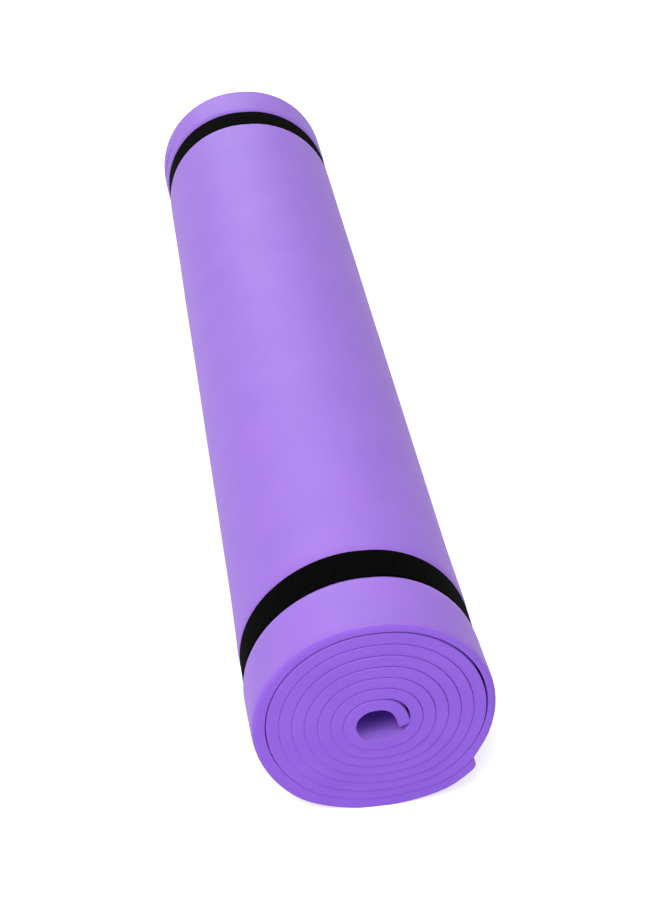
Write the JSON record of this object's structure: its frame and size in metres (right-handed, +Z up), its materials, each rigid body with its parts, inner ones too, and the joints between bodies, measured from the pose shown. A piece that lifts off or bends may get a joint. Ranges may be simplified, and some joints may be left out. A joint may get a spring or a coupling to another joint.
{
  "type": "rolled exercise mat",
  "caption": "Foam exercise mat rolled into a cylinder, lying on its side, held near each end by a black elastic band that slides off.",
  "frame": {"origin": "on the floor under the middle of the roll, which lies on its side", "axes": "+Y along the roll's axis towards its rear end, +Z up, +X to the right as seen from the front end"},
  "size_m": [0.1202, 0.6148, 0.1175],
  "materials": {
    "eva_foam": "matte",
    "elastic_tape": "matte",
    "rubber_thread": "matte",
    "sewing_thread": "satin"
  },
  "bodies": {
    "roll": {"mat": "eva_foam"},
    "front_loop": {"front_band": "elastic_tape", "front_band_rubber": "rubber_thread", "front_band_stitching": "sewing_thread"},
    "rear_loop": {"rear_band": "elastic_tape", "rear_band_rubber": "rubber_thread", "rear_band_stitching": "sewing_thread"}
  },
  "joints": [
    {"name": "front_band_slide", "type": "slide", "parent": "roll", "child": "front_loop", "axis": [0, -1, 0], "range_m": [0, 0.07]},
    {"name": "rear_band_slide", "type": "slide", "parent": "roll", "child": "rear_loop", "axis": [0, 1, 0], "range_m": [0, 0.08]}
  ]
}
